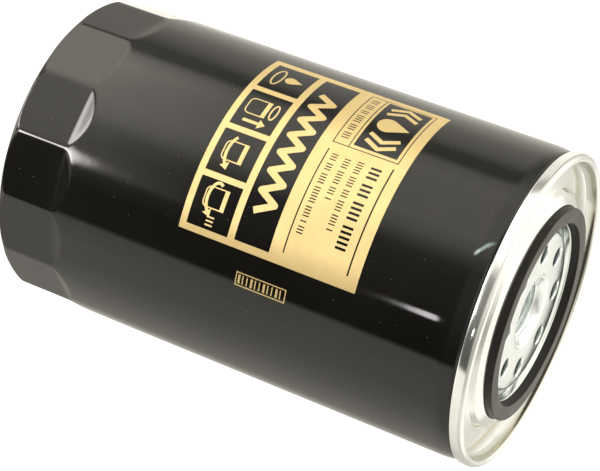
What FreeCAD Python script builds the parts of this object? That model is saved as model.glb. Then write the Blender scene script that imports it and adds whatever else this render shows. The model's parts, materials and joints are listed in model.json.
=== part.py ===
"""Spin-on oil filter for an engine, as the separate pieces it is assembled from.

The origin is the centre of the gasket's sealing face. +Z points out of the threaded end, so the
canister hangs below z = 0 and stands on its closed end at z = -overall_length. Millimetres.
A "drop" is a depth below the sealing face.
"""

import FreeCAD, Part
import math
import os
import re

import Sketcher

Vector = FreeCAD.Vector

DIMENSIONS = {
    # mounting gasket
    "gasket_outer_radius": 36.0,
    "gasket_inner_radius": 31.0,
    "gasket_height": 5.3,
    "gasket_edge": 0.25,
    # canister
    "overall_length": 174.0,
    "can_radius": 53.0,
    "can_wall": 0.5,
    "can_corner": 4.0,
    "can_neck_radius": 52.45,
    "can_neck_drop": 7.3,
    "can_neck_length": 4.2,
    "foot_inner_radius": 38.0,
    "foot_height": 1.6,
    "foot_bend": 1.5,
    "foot_panel_bend": 1.0,
    "neck_blend": 25.0,
    "neck_bend": 0.6,
    "can_hook_bend": 0.4,
    "flat_count": 15,
    "flat_distance": 51.9,
    "flat_end_drop": 150.7,
    "flat_runout_length": 4.5,
    "flat_runout_rise": 1.5,
    "flat_runout_bend": 8.0,
    "flat_turn": -2.3,
    "cutter_margin": 5.0,
    # rolled seam between can and lid
    "lid_wall": 0.5,
    "seam_radius": 53.25,
    "seam_top_drop": 1.9,
    "seam_foot_drop": 6.4,
    "seam_gap": 0.05,
    "seam_bend": 0.7,
    "hook_end_drop": 3.45,
    "hook_overlap": 0.3,
    # seaming lid inside the seam
    "chuck_radius": 50.5,
    "channel_outer_radius": 49.8,
    "channel_outer_drop": 6.4,
    "channel_inner_radius": 41.2,
    "channel_inner_drop": 5.6,
    "channel_outer_bend": 0.6,
    "channel_inner_bend": 0.8,
    "retainer_top_drop": 2.45,
    "retainer_shoulder_radius": 39.4,
    "retainer_shoulder_drop": 3.5,
    "retainer_bend": 0.6,
    "shoulder_bend": 3.0,
    "groove_bend": 0.15,
    "hem_width": 1.2,
    "hem_top_drop": 2.6,
    "hem_end_drop": 4.7,
    "hem_bend": 0.55,
    # tapping plate
    "plate_thickness": 3.0,
    "plate_centre_drop": 3.0,
    "plate_centre_radius": 26.6,
    "plate_step_radius": 28.9,
    "plate_radius": 39.5,
    "plate_offset": 1.0,
    "plate_centre_bend": 2.0,
    "plate_step_bend": 0.4,
    "plate_under_bend": 1.5,
    "thread_radius": 8.75,
    "thread_start_drop": 5.4,
    "neck_mouth_radius": 13.0,
    "neck_throat_radius": 10.3,
    "neck_throat_drop": 4.3,
    "neck_radius": 12.2,
    "neck_end_drop": 15.5,
    "neck_mouth_bend": 3.0,
    "inlet_count": 8,
    "inlet_radius": 3.0,
    "inlet_circle_radius": 20.5,
    "inlet_turn": 27.4,
    # drain-back valve
    "valve_bore_radius": 12.3,
    "valve_hub_radius": 15.5,
    "valve_lip_radius": 33.2,
    "valve_flap_thickness": 1.5,
    "valve_root_drop": 11.0,
    "valve_lead_in": 1.7,
    "valve_flap_rise": 1.0,
    "valve_lip_rise": 1.4,
    "valve_lip_reach": 2.5,
    "valve_lip_width": 1.0,
    "valve_lip_overhang": 0.8,
    "valve_root_bend": 0.8,
    "valve_flap_bend": 2.0,
    "valve_fold_bend": 1.0,
    "valve_lip_bend": 0.3,
    # filter element
    "element_top_drop": 14.0,
    "element_length": 144.0,
    "cap_radius": 45.5,
    "cap_wall": 0.5,
    "cap_rim": 4.5,
    "cap_bend": 1.0,
    "cap_collar_radius": 13.2,
    "bond_thickness": 2.0,
    "bond_edge": 0.6,
    "fit_gap": 0.05,
    "tube_inner_radius": 15.0,
    "tube_wall": 0.5,
    "tube_hole_radius": 2.5,
    "tube_hole_rows": 10,
    "tube_hole_columns": 6,
    "media_inner_radius": 16.5,
    "media_outer_radius": 44.0,
    "paper_thickness": 0.5,
    "pleat_count": 50,
    "pleat_width": 1.7,
    "clip_depth": 6.0,
    "clip_wall": 0.3,
    "clip_gap": 0.03,
    # bypass valve in the lower end cap
    "seat_bore_radius": 7.0,
    "seat_spigot_radius": 10.9,
    "seat_radius": 13.2,
    "seat_thickness": 1.2,
    "seat_spigot_length": 0.8,
    "seat_lip_height": 0.6,
    "seat_lip_width": 1.0,
    "seat_lip_flank": 0.6,
    "seat_lip_lead": 0.3,
    "seal_radius": 9.8,
    "seal_thickness": 1.0,
    "poppet_radius": 10.0,
    "poppet_thickness": 0.8,
    "poppet_edge": 0.3,
    "poppet_ring_height": 1.2,
    "poppet_ring_taper": 0.4,
    "poppet_ring_gap": 0.2,
    "stem_radius": 1.5,
    "stem_head_radius": 3.2,
    "stem_head_height": 0.9,
    "stem_edge": 0.4,
    "stem_length": 27.0,
    "cage_radius": 12.2,
    "cage_height": 20.3,
    "cage_wall": 0.5,
    "cage_window_count": 4,
    "cage_window_width": 9.0,
    "cage_window_height": 12.0,
    "cage_window_sill": 2.0,
    "cage_window_bend": 1.0,
    "cage_bend": 1.0,
    "bypass_coil_radius": 6.5,
    "bypass_wire_radius": 0.6,
    "bypass_turns": 6.0,
    # hold-down spring
    "seat_ring_outer_radius": 31.0,
    "seat_ring_inner_radius": 25.6,
    "seat_ring_wall": 0.8,
    "seat_ring_depth": 3.5,
    "seat_ring_bend": 1.0,
    "element_coil_radius": 28.0,
    "element_wire_radius": 1.3,
    "element_turns": 2.5,
}

# Places that several pieces share, as depths below the sealing face.
LID_SEAT_DROP = "gasket_height"
LID_SEAT_UNDERSIDE = "gasket_height + lid_wall"
PLATE_UNDERSIDE = "plate_centre_drop + plate_thickness"
RING_UNDERSIDE = "gasket_height + lid_wall + plate_thickness"
BOND_TOP = "element_top_drop + cap_wall"
PAPER_TOP = "element_top_drop + cap_wall + bond_thickness"
ELEMENT_FOOT = "element_top_drop + element_length"
BOND_FOOT = "element_top_drop + element_length - cap_wall"
PAPER_FOOT = "element_top_drop + element_length - cap_wall - bond_thickness"
SEAT_TOP = "element_top_drop + element_length - cap_wall - seat_thickness"
SEAL_FOOT = SEAT_TOP + " - seat_lip_height"
SEAL_TOP = SEAL_FOOT + " - seal_thickness"
POPPET_TOP = SEAL_TOP + " - poppet_thickness"
CAGE_TOP = SEAT_TOP + " - cage_height"
RING_FOOT = "element_top_drop + element_length + seat_ring_wall"
PANEL_TOP = "overall_length - foot_height - can_wall"

document = FreeCAD.newDocument("OilFilter")


# ---------------------------------------------------------------- dimensions and expressions

def write_dimensions():
    """The spreadsheet of driving dimensions, one named cell a row."""
    sheet = document.addObject("Spreadsheet::Sheet", "Dims")
    for row, (name, number) in enumerate(DIMENSIONS.items(), start=1):
        sheet.set(f"A{row}", name)
        sheet.set(f"B{row}", str(number))
        sheet.setAlias(f"B{row}", name)
    document.recompute()
    return sheet


sheet = write_dimensions()


def size(expression):
    """The value of an expression in the sheet's own names."""
    return float(sheet.evalExpression(expression))


def linked(expression):
    """The same expression as another object has to write it, with each name led by the sheet's."""
    names = "|".join(DIMENSIONS)
    return re.sub(rf"\b({names})\b", r"Dims.\1", expression)


def bind(item, target, expression):
    item.setExpression(target, linked(expression))


def bind_turn(item, expression):
    """Turns a finished piece about Z by an angle in degrees."""
    item.Placement = FreeCAD.Placement(Vector(), Vector(0, 0, 1), size(expression))
    item.setExpression("Placement.Rotation.Angle", linked(expression) + " * 1 deg")


def below(drop):
    return f"-({drop})"


# ---------------------------------------------------------------- sketches

def origin_feature(body, role):
    return next(item for item in body.Origin.OriginFeatures if item.Role == role)


def sketch_on(body, name, plane, lift=None):
    """A sketch on one of the body's own planes, raised along the plane's normal if asked."""
    sketch = body.newObject("Sketcher::SketchObject", name)
    sketch.AttachmentSupport = (origin_feature(body, plane), [""])
    sketch.MapMode = "FlatFace"
    if lift is not None:
        bind(sketch, "AttachmentOffset.Base.z", lift)
    return sketch


def hold_point(sketch, geometry, end, across, up):
    """Ties one point to its two coordinates, each an expression of the dimensions."""
    if across == "0":
        sketch.addConstraint(Sketcher.Constraint("PointOnObject", geometry, end, -2))
    else:
        held = Sketcher.Constraint("DistanceX", -1, 1, geometry, end, size(across))
        bind(sketch, f"Constraints[{sketch.addConstraint(held)}]", across)
    if up == "0":
        sketch.addConstraint(Sketcher.Constraint("PointOnObject", geometry, end, -1))
    else:
        held = Sketcher.Constraint("DistanceY", -1, 1, geometry, end, size(up))
        bind(sketch, f"Constraints[{sketch.addConstraint(held)}]", up)


def rounded_corner(before, place, after, radius):
    """Where a rounding starts and ends on its two lines, its centre, and if it turns to the left."""
    back = (before - place).normalize()
    onward = (after - place).normalize()
    half_angle = back.getAngle(onward) / 2
    setback = radius / math.tan(half_angle)
    centre = place + (back + onward).normalize() * (radius / math.sin(half_angle))
    turns_left = onward.cross(back).z > 0
    return place + back * setback, place + onward * setback, centre, turns_left


def add_arc(sketch, centre, radius, start, end):
    """An arc that runs anticlockwise from start to end."""
    first = math.atan2(start.y - centre.y, start.x - centre.x)
    last = math.atan2(end.y - centre.y, end.x - centre.x)
    circle = Part.Circle(centre, Vector(0, 0, 1), radius)
    return sketch.addGeometry(Part.ArcOfCircle(circle, first, last), False)


def draw_outline(sketch, corners, closed=True):
    """Lines from corner to corner. A corner is (across, up) or (across, up, rounding)."""
    places = [Vector(size(corner[0]), size(corner[1]), 0) for corner in corners]
    count = len(corners)
    starts = list(places)
    ends = list(places)
    arcs = {}
    for index, corner in enumerate(corners):
        if len(corner) == 3:
            before = places[index - 1]
            after = places[(index + 1) % count]
            radius = size(corner[2])
            entry, leave, centre, turns_left = rounded_corner(before, places[index], after, radius)
            ends[index] = entry
            starts[index] = leave
            arcs[index] = (centre, radius, turns_left)

    line_count = count if closed else count - 1
    lines = []
    for index in range(line_count):
        segment = Part.LineSegment(starts[index], ends[(index + 1) % count])
        lines.append(sketch.addGeometry(segment, False))

    for index, corner in enumerate(corners):
        following = lines[index] if index < line_count else None
        leading = lines[index - 1] if closed or index > 0 else None
        if index in arcs:
            centre, radius, turns_left = arcs[index]
            first = ends[index] if turns_left else starts[index]
            last = starts[index] if turns_left else ends[index]
            arc = add_arc(sketch, centre, radius, first, last)
            arc_entry = 1 if turns_left else 2
            arc_leave = 2 if turns_left else 1
            sketch.addConstraint(Sketcher.Constraint("Tangent", leading, 2, arc, arc_entry))
            sketch.addConstraint(Sketcher.Constraint("Tangent", following, 1, arc, arc_leave))
            rounding = sketch.addConstraint(Sketcher.Constraint("Radius", arc, radius))
            bind(sketch, f"Constraints[{rounding}]", corner[2])
            point = sketch.addGeometry(Part.Point(places[index]), True)
            sketch.addConstraint(Sketcher.Constraint("PointOnObject", point, 1, leading))
            sketch.addConstraint(Sketcher.Constraint("PointOnObject", point, 1, following))
            hold_point(sketch, point, 1, corner[0], corner[1])
        elif following is None:
            hold_point(sketch, leading, 2, corner[0], corner[1])
        else:
            if leading is not None:
                sketch.addConstraint(Sketcher.Constraint("Coincident", leading, 2, following, 1))
            hold_point(sketch, following, 1, corner[0], corner[1])


def draw_circle(sketch, across, up, radius):
    centre = Vector(size(across), size(up), 0)
    circle = sketch.addGeometry(Part.Circle(centre, Vector(0, 0, 1), size(radius)), False)
    hold_point(sketch, circle, 3, across, up)
    held = sketch.addConstraint(Sketcher.Constraint("Radius", circle, size(radius)))
    bind(sketch, f"Constraints[{held}]", radius)


# ---------------------------------------------------------------- features

def turned_body(name, corners):
    """A body turned about Z from a closed outline of (radius, height) corners."""
    body = document.addObject("PartDesign::Body", name)
    sketch = sketch_on(body, name + "_outline", "XZ_Plane")
    draw_outline(sketch, corners)
    turning = body.newObject("PartDesign::Revolution", name + "_turning")
    turning.Profile = sketch
    turning.ReferenceAxis = (sketch, ["V_Axis"])
    turning.Angle = 360
    body.Tip = turning
    document.recompute()
    return body


def cut_through(body, sketch, length=None, one_side=False):
    """Cuts the sketch through the body, to both sides of its plane or to one."""
    before = body.Shape.Volume
    pocket = body.newObject("PartDesign::Pocket", sketch.Name + "_cut")
    pocket.Profile = sketch
    pocket.SideType = "One side" if one_side else "Symmetric"
    if length is None:
        pocket.Type = "ThroughAll"
    else:
        pocket.Type = "Length"
        bind(pocket, "Length", length)
    body.Tip = pocket
    document.recompute()
    if body.Shape.Volume >= before:
        raise RuntimeError(f"{pocket.Label} cut nothing")
    return pocket


def repeat_round(body, feature, count):
    """Repeats a feature evenly about Z."""
    pattern = body.newObject("PartDesign::PolarPattern", feature.Name + "_round")
    pattern.Originals = [feature]
    pattern.Axis = (origin_feature(body, "Z_Axis"), [""])
    pattern.Angle = 360
    bind(pattern, "Occurrences", count)
    body.Tip = pattern
    document.recompute()
    return pattern


def formed_sheet(name, path, thickness):
    """Sheet metal formed round Z. The path is one face; the metal lies to the side of the sign."""
    sketch = document.addObject("Sketcher::SketchObject", name + "_path")
    sketch.Placement = FreeCAD.Placement(Vector(), Vector(1, 0, 0), 90)
    draw_outline(sketch, path, closed=False)
    document.recompute()
    strip = document.addObject("Part::Offset2D", name + "_strip")
    strip.Source = sketch
    strip.Mode = "Skin"
    strip.Join = "Arc"
    strip.Fill = True
    bind(strip, "Value", thickness)
    document.recompute()
    sheet_metal = document.addObject("Part::Revolution", name)
    sheet_metal.Source = strip
    sheet_metal.Axis = Vector(0, 0, 1)
    sheet_metal.Angle = 360
    sheet_metal.Solid = True
    document.recompute()
    return sheet_metal


def coil(name, coil_radius, wire_radius, foot_drop, top_drop, turns):
    """A helical spring between two depths: a round wire swept along a helix in quarter turns."""
    start = f"{wire_radius} - ({foot_drop})"
    helix = document.addObject("Part::Helix", name + "_helix")
    bind(helix, "Radius", coil_radius)
    bind(helix, "Height", f"{foot_drop} - ({top_drop}) - 2 * {wire_radius}")
    bind(helix, "Pitch", f"({foot_drop} - ({top_drop}) - 2 * {wire_radius}) / {turns}")
    helix.SegmentLength = 0.25
    bind(helix, "Placement.Base.z", start)
    wire = document.addObject("Part::Circle", name + "_wire")
    wire.Placement.Rotation = FreeCAD.Rotation(Vector(1, 0, 0), 90)
    bind(wire, "Radius", wire_radius)
    bind(wire, "Placement.Base.x", coil_radius)
    bind(wire, "Placement.Base.z", start)
    spring = document.addObject("Part::Sweep", name)
    spring.Sections = [wire]
    spring.Spine = (helix, [])
    spring.Solid = True
    spring.Frenet = True
    document.recompute()
    return spring


# ---------------------------------------------------------------- canister

def fluted_blank(name, corners, flat_distance):
    """A turned blank with the wrench flats pressed round its closed end."""
    body = turned_body(name, corners)
    sketch = sketch_on(body, name + "_flat", "XZ_Plane")
    beyond = "can_radius + cutter_margin"
    past_foot = below("overall_length + cutter_margin")
    runout_top = "flat_runout_length - flat_end_drop"
    draw_outline(sketch, [
        (flat_distance, past_foot),
        (flat_distance, below("flat_end_drop"), "flat_runout_bend"),
        (f"{flat_distance} + flat_runout_rise", runout_top),
        (beyond, runout_top),
        (beyond, past_foot),
    ])
    flat = cut_through(body, sketch, "can_radius / 2")
    repeat_round(body, flat, "flat_count")
    return body


def make_can():
    """The drawn can: neck and body hook at the seam, wrench flats, and a ring foot."""
    outside = fluted_blank("can_outside", [
        ("0", below("overall_length - foot_height")),
        ("foot_inner_radius - foot_height", below("overall_length - foot_height"), "foot_panel_bend"),
        ("foot_inner_radius", below("overall_length"), "foot_bend"),
        ("can_radius", below("overall_length"), "can_corner"),
        ("can_radius", below("can_neck_drop + can_neck_length"), "neck_blend"),
        ("can_neck_radius", below("can_neck_drop"), "neck_bend"),
        ("seam_radius - 3 * lid_wall - 4 * seam_gap", below("seam_foot_drop + 2 * seam_gap")),
        ("seam_radius - 3 * lid_wall - 4 * seam_gap", below("seam_top_drop + 2 * lid_wall + seam_gap")),
        ("seam_radius - 2 * lid_wall - seam_gap", below("seam_top_drop + 2 * lid_wall + seam_gap")),
        ("seam_radius - 2 * lid_wall - seam_gap", below("seam_foot_drop - lid_wall - hook_overlap")),
        ("seam_radius - lid_wall - seam_gap", below("seam_foot_drop - lid_wall - hook_overlap")),
        ("seam_radius - lid_wall - seam_gap", below("seam_top_drop + lid_wall + seam_gap"), "can_hook_bend"),
        ("0", below("seam_top_drop + lid_wall + seam_gap")),
    ], "flat_distance")
    inside = fluted_blank("can_inside", [
        ("0", below("overall_length - foot_height - can_wall")),
        ("foot_inner_radius - foot_height", below("overall_length - foot_height - can_wall"),
         "foot_panel_bend + can_wall"),
        ("foot_inner_radius + can_wall / 2", below("overall_length - can_wall"), "foot_bend - can_wall"),
        ("can_radius - can_wall", below("overall_length - can_wall"), "can_corner - can_wall"),
        ("can_radius - can_wall", below("can_neck_drop + can_neck_length"), "neck_blend"),
        ("can_neck_radius - can_wall", below("can_neck_drop"), "neck_bend"),
        ("seam_radius - 3 * lid_wall - 4 * seam_gap - can_wall", below("seam_foot_drop + 2 * seam_gap")),
        ("seam_radius - 3 * lid_wall - 4 * seam_gap - can_wall", below("seam_top_drop")),
        ("0", below("seam_top_drop")),
    ], "flat_distance - can_wall")
    can = document.addObject("Part::Cut", "can")
    can.Base = outside
    can.Tool = inside
    bind_turn(can, "flat_turn")
    return can


def make_seaming_lid():
    """The thin lid, from the hem inside the gasket groove out to the hook in the rolled seam."""
    hook_radius = "seam_radius - 3 * lid_wall - 2 * seam_gap"
    hem_outer = "gasket_inner_radius - fit_gap"
    path = [
        (f"{hem_outer} - hem_width", below("hem_end_drop")),
        (f"{hem_outer} - hem_width", below("hem_top_drop"), "hem_bend"),
        (hem_outer, below("hem_top_drop"), "hem_bend"),
        (hem_outer, below(LID_SEAT_DROP), "groove_bend"),
        ("gasket_outer_radius + fit_gap", below(LID_SEAT_DROP), "groove_bend"),
        ("gasket_outer_radius + fit_gap", below("retainer_top_drop"), "retainer_bend"),
        ("retainer_shoulder_radius", below("retainer_shoulder_drop"), "shoulder_bend"),
        ("channel_inner_radius", below("channel_inner_drop"), "channel_inner_bend"),
        ("channel_outer_radius", below("channel_outer_drop"), "channel_outer_bend"),
        ("chuck_radius", below("seam_top_drop"), "seam_bend"),
        ("seam_radius", below("seam_top_drop"), "seam_bend"),
        ("seam_radius", below("seam_foot_drop"), "seam_bend"),
        (hook_radius, below("seam_foot_drop"), "seam_bend"),
        (hook_radius, below("hook_end_drop")),
    ]
    return formed_sheet("seaming_lid", path, "-lid_wall")


def make_seam_compound():
    """The ring of sealing compound between the can's flange and the lid's hook."""
    inner = "seam_radius - 3 * lid_wall - 3 * seam_gap"
    outer = "seam_radius - 2 * lid_wall - 2 * seam_gap"
    top = below("seam_top_drop + 2 * lid_wall + 2 * seam_gap")
    foot = below("hook_end_drop")
    return turned_body("seam_compound", [(inner, foot), (outer, foot), (outer, top), (inner, top)])


def make_tapping_plate():
    """The thick plate: raised centre with a drawn, threaded neck and a ring of inlet holes."""
    body = turned_body("tapping_plate", [
        ("thread_radius", below("thread_start_drop")),
        ("neck_throat_radius", below("neck_throat_drop")),
        ("neck_mouth_radius", below("plate_centre_drop"), "neck_mouth_bend"),
        ("plate_centre_radius", below("plate_centre_drop"), "plate_centre_bend"),
        ("plate_step_radius", below(LID_SEAT_UNDERSIDE), "plate_step_bend"),
        ("plate_radius", below(LID_SEAT_UNDERSIDE)),
        ("plate_radius", below(RING_UNDERSIDE)),
        ("plate_step_radius - plate_offset", below(RING_UNDERSIDE), "plate_under_bend"),
        ("plate_centre_radius - plate_offset", below(PLATE_UNDERSIDE), "plate_step_bend"),
        ("neck_radius", below(PLATE_UNDERSIDE), "plate_under_bend"),
        ("neck_radius", below("neck_end_drop")),
        ("thread_radius", below("neck_end_drop")),
    ])
    sketch = sketch_on(body, "inlet_hole", "XY_Plane")
    draw_circle(sketch, "inlet_circle_radius", "0", "inlet_radius")
    hole = cut_through(body, sketch)
    repeat_round(body, hole, "inlet_count")
    bind_turn(body, "inlet_turn")
    return body


def make_mounting_gasket():
    """The square-cut sealing ring; its upper edges are slightly eased."""
    return turned_body("mounting_gasket", [
        ("gasket_inner_radius", below(LID_SEAT_DROP), "gasket_edge"),
        ("gasket_outer_radius", below(LID_SEAT_DROP), "gasket_edge"),
        ("gasket_outer_radius", "0", "gasket_edge"),
        ("gasket_inner_radius", "0", "gasket_edge"),
    ])


def make_drainback_valve():
    """The rubber diaphragm: a hub round the neck and a thin flap whose lip closes on the plate."""
    underside = "valve_root_drop + valve_flap_thickness"
    flap_outer = "valve_lip_radius - valve_lip_reach"
    return turned_body("drainback_valve", [
        ("valve_bore_radius", below("element_top_drop")),
        ("valve_hub_radius", below("element_top_drop")),
        ("valve_hub_radius", below(underside), "valve_root_bend"),
        (flap_outer, below(f"{underside} - valve_flap_rise"), "valve_flap_bend"),
        ("valve_lip_radius + valve_lip_overhang", below(f"{underside} - valve_flap_rise - valve_lip_rise"),
         "valve_lip_bend"),
        ("valve_lip_radius", below(RING_UNDERSIDE), "valve_lip_bend"),
        ("valve_lip_radius - valve_lip_width", below(RING_UNDERSIDE), "valve_lip_bend"),
        (flap_outer, below("valve_root_drop - valve_flap_rise"), "valve_fold_bend"),
        ("valve_hub_radius", below("valve_root_drop"), "valve_fold_bend"),
        ("valve_hub_radius", below(PLATE_UNDERSIDE)),
        ("valve_bore_radius + valve_lead_in", below(PLATE_UNDERSIDE)),
        ("valve_bore_radius", below(f"{PLATE_UNDERSIDE} + valve_lead_in")),
    ])


# ---------------------------------------------------------------- filter element

def make_upper_end_cap():
    """A pressed ring channel that opens downwards, with the outlet in its middle."""
    top = below("element_top_drop")
    rim = below("element_top_drop + cap_rim")
    path = [
        ("cap_collar_radius", rim),
        ("cap_collar_radius", top, "cap_bend"),
        ("cap_radius", top, "cap_bend"),
        ("cap_radius", rim),
    ]
    return formed_sheet("upper_end_cap", path, "-cap_wall")


def make_lower_end_cap():
    """A pressed dish that opens upwards, with a hole for the bypass seat."""
    foot = below(ELEMENT_FOOT)
    path = [
        ("cap_radius", below(f"{ELEMENT_FOOT} - cap_rim")),
        ("cap_radius", foot, "cap_bend"),
        ("seat_spigot_radius + fit_gap", foot),
    ]
    return formed_sheet("lower_end_cap", path, "-cap_wall")


def make_bond(name, low_drop, high_drop):
    """A ring of adhesive that fills a cap's channel over the ends of paper and tube."""
    inner = "cap_collar_radius + cap_wall + fit_gap"
    outer = "cap_radius - cap_wall - fit_gap"
    return turned_body(name, [
        (inner, below(low_drop), "bond_edge"),
        (outer, below(low_drop), "bond_edge"),
        (outer, below(high_drop), "bond_edge"),
        (inner, below(high_drop), "bond_edge"),
    ])


def make_center_tube():
    """The perforated tube, with two staggered sets of hole columns."""
    outer = "tube_inner_radius + tube_wall"
    body = turned_body("center_tube", [
        ("tube_inner_radius", below(PAPER_FOOT)),
        (outer, below(PAPER_FOOT)),
        (outer, below(PAPER_TOP)),
        ("tube_inner_radius", below(PAPER_TOP)),
    ])
    pitch = f"({PAPER_FOOT} - ({PAPER_TOP})) / (tube_hole_rows + 0.5)"
    for plane, first_step in (("XZ_Plane", 0.5), ("YZ_Plane", 1.0)):
        sketch = sketch_on(body, "tube_holes_" + plane[:2], plane)
        for row in range(int(size("tube_hole_rows"))):
            draw_circle(sketch, "0", f"(({pitch}) * {first_step + row} - ({PAPER_FOOT}))", "tube_hole_radius")
        holes = cut_through(body, sketch, one_side=True)
        repeat_round(body, holes, "tube_hole_columns")
    return body


def make_pleated_media():
    """Paper folded into radial pleats: a ring cut from outside and inside between its folds."""
    body = document.addObject("PartDesign::Body", "pleated_media")
    ring = sketch_on(body, "media_ring", "XY_Plane", below(PAPER_FOOT))
    draw_circle(ring, "0", "0", "media_outer_radius")
    draw_circle(ring, "0", "0", "media_inner_radius")
    pad = body.newObject("PartDesign::Pad", "media_pad")
    pad.Profile = ring
    bind(pad, "Length", f"{PAPER_FOOT} - ({PAPER_TOP})")
    body.Tip = pad
    document.recompute()

    inner_slot = sketch_on(body, "inner_slot", "XY_Plane")
    half_slot = "(pleat_width / 2 - paper_thickness)"
    slot_end = "media_outer_radius - paper_thickness"
    draw_outline(inner_slot, [
        ("media_inner_radius - cutter_margin", below(half_slot)),
        (slot_end, below(half_slot)),
        (slot_end, half_slot),
        ("media_inner_radius - cutter_margin", half_slot),
    ])
    repeat_round(body, cut_through(body, inner_slot), "pleat_count")

    outer_gap = sketch_on(body, "outer_gap", "XY_Plane")
    bind(outer_gap, "AttachmentOffset.Rotation.Angle", "180 / pleat_count * 1 deg")
    slope = "tan(180 / pleat_count * 1 deg)"
    foot_radius = "(media_inner_radius + paper_thickness)"
    beyond = "(media_outer_radius + cutter_margin)"
    half_foot = f"({foot_radius} * {slope} - pleat_width / 2)"
    half_beyond = f"({beyond} * {slope} - pleat_width / 2)"
    draw_outline(outer_gap, [
        (foot_radius, below(half_foot)),
        (beyond, below(half_beyond)),
        (beyond, half_beyond),
        (foot_radius, half_foot),
    ])
    repeat_round(body, cut_through(body, outer_gap), "pleat_count")
    return body


def make_media_seam_clip():
    """The steel strip that grips the paper's two ends, folded over one pleat."""
    body = document.addObject("PartDesign::Body", "media_seam_clip")
    sketch = sketch_on(body, "clip_section", "XY_Plane", below(PAPER_FOOT))
    inside = "(pleat_width / 2 + clip_gap)"
    outside = "(pleat_width / 2 + clip_gap + clip_wall)"
    mouth = "media_outer_radius - clip_depth"
    draw_outline(sketch, [
        (mouth, below(outside)),
        ("media_outer_radius + clip_gap + clip_wall", below(outside)),
        ("media_outer_radius + clip_gap + clip_wall", outside),
        (mouth, outside),
        (mouth, inside),
        ("media_outer_radius + clip_gap", inside),
        ("media_outer_radius + clip_gap", below(inside)),
        (mouth, below(inside)),
    ])
    pad = body.newObject("PartDesign::Pad", "clip_pad")
    pad.Profile = sketch
    bind(pad, "Length", f"{PAPER_FOOT} - ({PAPER_TOP})")
    body.Tip = pad
    document.recompute()
    return body


# ---------------------------------------------------------------- bypass valve

def make_bypass_valve_seat():
    """The orifice ring pressed into the lower cap, with a raised sealing lip."""
    return turned_body("bypass_valve_seat", [
        ("seat_bore_radius", below(f"{ELEMENT_FOOT} + seat_spigot_length")),
        ("seat_spigot_radius", below(f"{ELEMENT_FOOT} + seat_spigot_length")),
        ("seat_spigot_radius", below(BOND_FOOT)),
        ("seat_radius", below(BOND_FOOT)),
        ("seat_radius", below(SEAT_TOP)),
        ("seat_bore_radius + seat_lip_width + seat_lip_flank", below(SEAT_TOP)),
        ("seat_bore_radius + seat_lip_width", below(SEAL_FOOT)),
        ("seat_bore_radius + seat_lip_lead", below(SEAL_FOOT)),
        ("seat_bore_radius", below(SEAT_TOP)),
    ])


def make_bypass_seal():
    return turned_body("bypass_seal", [
        ("stem_radius + fit_gap", below(SEAL_FOOT)),
        ("seal_radius", below(SEAL_FOOT)),
        ("seal_radius", below(SEAL_TOP)),
        ("stem_radius + fit_gap", below(SEAL_TOP)),
    ])


def make_bypass_poppet():
    """The disc behind the seal, with a low ring that centres the spring."""
    ring = "bypass_coil_radius - bypass_wire_radius - poppet_ring_gap"
    return turned_body("bypass_poppet", [
        ("stem_radius + fit_gap", below(SEAL_TOP)),
        ("poppet_radius", below(SEAL_TOP)),
        ("poppet_radius", below(POPPET_TOP), "poppet_edge"),
        (ring, below(POPPET_TOP)),
        (f"{ring} - poppet_ring_taper", below(f"{POPPET_TOP} - poppet_ring_height")),
        ("stem_radius + fit_gap", below(f"{POPPET_TOP} - poppet_ring_height")),
    ])


def make_bypass_stem():
    """The rivet through seal and poppet that runs up through the cage's guide hole."""
    return turned_body("bypass_stem", [
        ("0", below(f"{SEAL_FOOT} + stem_head_height")),
        ("stem_head_radius", below(f"{SEAL_FOOT} + stem_head_height"), "stem_edge"),
        ("stem_head_radius", below(SEAL_FOOT)),
        ("stem_radius", below(SEAL_FOOT)),
        ("stem_radius", below(f"{SEAL_FOOT} - stem_length"), "stem_edge"),
        ("0", below(f"{SEAL_FOOT} - stem_length")),
    ])


def make_bypass_cage():
    """The windowed cup over the poppet, which carries the spring and guides the stem."""
    top = below(CAGE_TOP)
    foot = below(SEAT_TOP)
    body = turned_body("bypass_cage", [
        ("cage_radius - cage_wall", foot),
        ("seat_radius", foot),
        ("seat_radius", below(f"{SEAT_TOP} - cage_wall")),
        ("cage_radius", below(f"{SEAT_TOP} - cage_wall")),
        ("cage_radius", top, "cage_bend"),
        ("stem_radius + 2 * fit_gap", top),
        ("stem_radius + 2 * fit_gap", below(f"{CAGE_TOP} + cage_wall")),
        ("cage_radius - cage_wall", below(f"{CAGE_TOP} + cage_wall"), "cage_bend - cage_wall"),
    ])
    sketch = sketch_on(body, "cage_window", "XZ_Plane")
    window_foot = f"cage_window_sill - ({SEAT_TOP})"
    window_top = f"cage_window_sill + cage_window_height - ({SEAT_TOP})"
    draw_outline(sketch, [
        ("-cage_window_width / 2", window_foot, "cage_window_bend"),
        ("cage_window_width / 2", window_foot, "cage_window_bend"),
        ("cage_window_width / 2", window_top, "cage_window_bend"),
        ("-cage_window_width / 2", window_top, "cage_window_bend"),
    ])
    repeat_round(body, cut_through(body, sketch, one_side=True), "cage_window_count")
    return body


# ---------------------------------------------------------------- hold-down spring

def make_spring_seat():
    """The ring between element and spring, turned down inside to centre the spring."""
    path = [
        ("seat_ring_outer_radius", below(ELEMENT_FOOT)),
        ("seat_ring_inner_radius", below(ELEMENT_FOOT), "seat_ring_bend"),
        ("seat_ring_inner_radius", below(f"{ELEMENT_FOOT} + seat_ring_depth")),
    ]
    return formed_sheet("spring_seat", path, "seat_ring_wall")


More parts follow.
